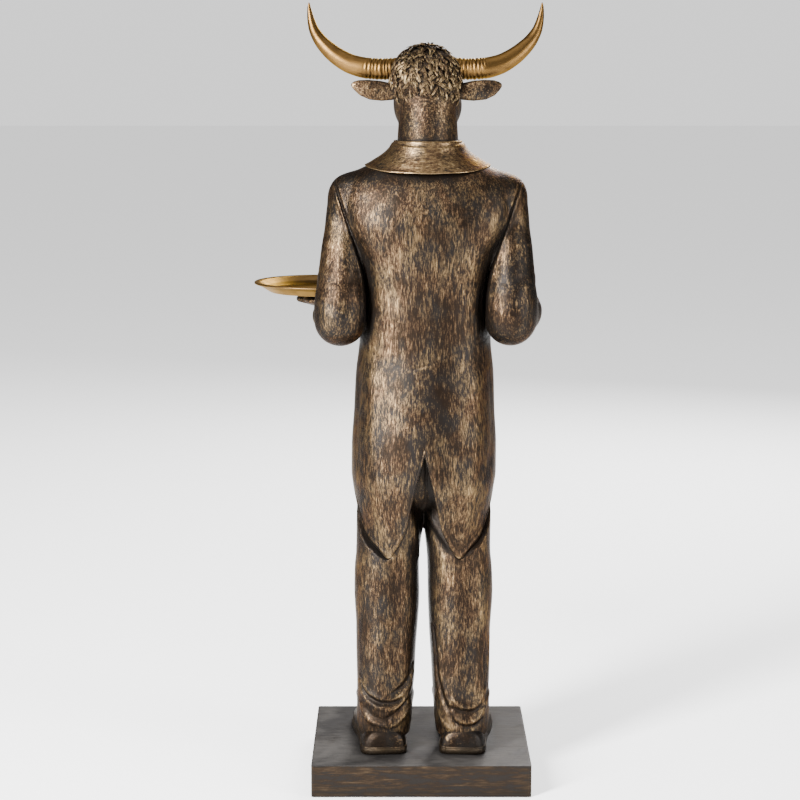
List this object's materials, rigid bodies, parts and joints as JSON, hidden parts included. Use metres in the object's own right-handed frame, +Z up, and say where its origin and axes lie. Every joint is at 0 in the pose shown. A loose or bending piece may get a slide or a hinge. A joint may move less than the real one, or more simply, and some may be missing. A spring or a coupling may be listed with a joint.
{
  "type": "bull waiter statue",
  "caption": "Standing bull in a tailcoat on a low rectangular plinth, holding a round serving tray level on its left hand, for display and for holding small light things.",
  "frame": {"origin": "centre of the plinth's underside", "axes": "+Z up; the figure faces -Y and its left hand, with the tray, is at +X"},
  "size_m": [0.3935, 0.3925, 1.0327],
  "materials": {
    "plinth": "cast resin painted charcoal on top, dark brown with dry-brushed bronze strokes on the sides",
    "bronze_finish": "cast resin painted dark bronze with dry-brushed gold highlights, satin; horns brass gold",
    "tray_finish": "cast resin painted brass gold, satin"
  },
  "bodies": {
    "root": {"plinth": "plinth", "figure": "bronze_finish", "tray": "tray_finish"}
  },
  "joints": []
}
